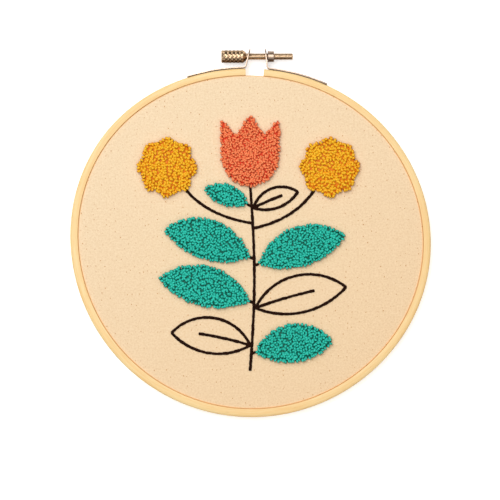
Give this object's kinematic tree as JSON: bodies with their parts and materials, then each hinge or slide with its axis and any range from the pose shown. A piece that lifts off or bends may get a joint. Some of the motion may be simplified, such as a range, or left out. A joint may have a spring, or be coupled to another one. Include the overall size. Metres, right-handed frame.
{
  "type": "embroidered cloth in a wooden embroidery hoop",
  "caption": "Natural cotton cloth with raised loop-pile flowers and leaves and black line stitching, stretched in a round wooden hoop that a thumb screw closes across a split at the top.",
  "frame": {"origin": "middle of the whole thing's bottom, on the surface that the hoop's back lies on", "axes": "+X to the right seen from the front, +Y towards the clamp screw, +Z out of the cloth's front"},
  "size_m": [0.2128, 0.2176, 0.0125],
  "materials": {
    "bamboo": "pale bamboo strip, lightly sanded, satin",
    "inner_bamboo": "pale bamboo strip, raw inside face",
    "natural_cloth": "unbleached plain-weave cotton with small seed flecks",
    "nickel": "thin bent sheet and a turned nut, pale warm plating",
    "bronze": "turned screw with a knurled head, dull bronze plating",
    "teal_yarn": "cotton yarn in small standing loops",
    "yellow_yarn": "cotton yarn in small standing loops",
    "orange_yarn": "soft yarn in small standing loops, a little fuzzy",
    "black_thread": "twisted black thread in backstitch"
  },
  "bodies": {
    "hoop": {"outer_ring": "bamboo", "inner_ring": "inner_bamboo", "cloth": "natural_cloth", "left_ear": "nickel", "right_ear": "nickel", "nut": "nickel", "pile_leaf_low_right": "teal_yarn", "pile_leaf_middle_left": "teal_yarn", "pile_leaf_upper_right": "teal_yarn", "pile_leaf_upper_left": "teal_yarn", "pile_leaf_small_left": "teal_yarn", "pile_blossom_right": "yellow_yarn", "pile_blossom_left": "yellow_yarn", "pile_tulip": "orange_yarn"},
    "screw": {"screw": "bronze"}
  },
  "joints": [
    {"name": "screw_turn", "type": "hinge", "parent": "hoop", "child": "screw", "pos_m": [0, 0.10423, 0.005], "axis": [1, 0, 0], "continuous": true}
  ]
}
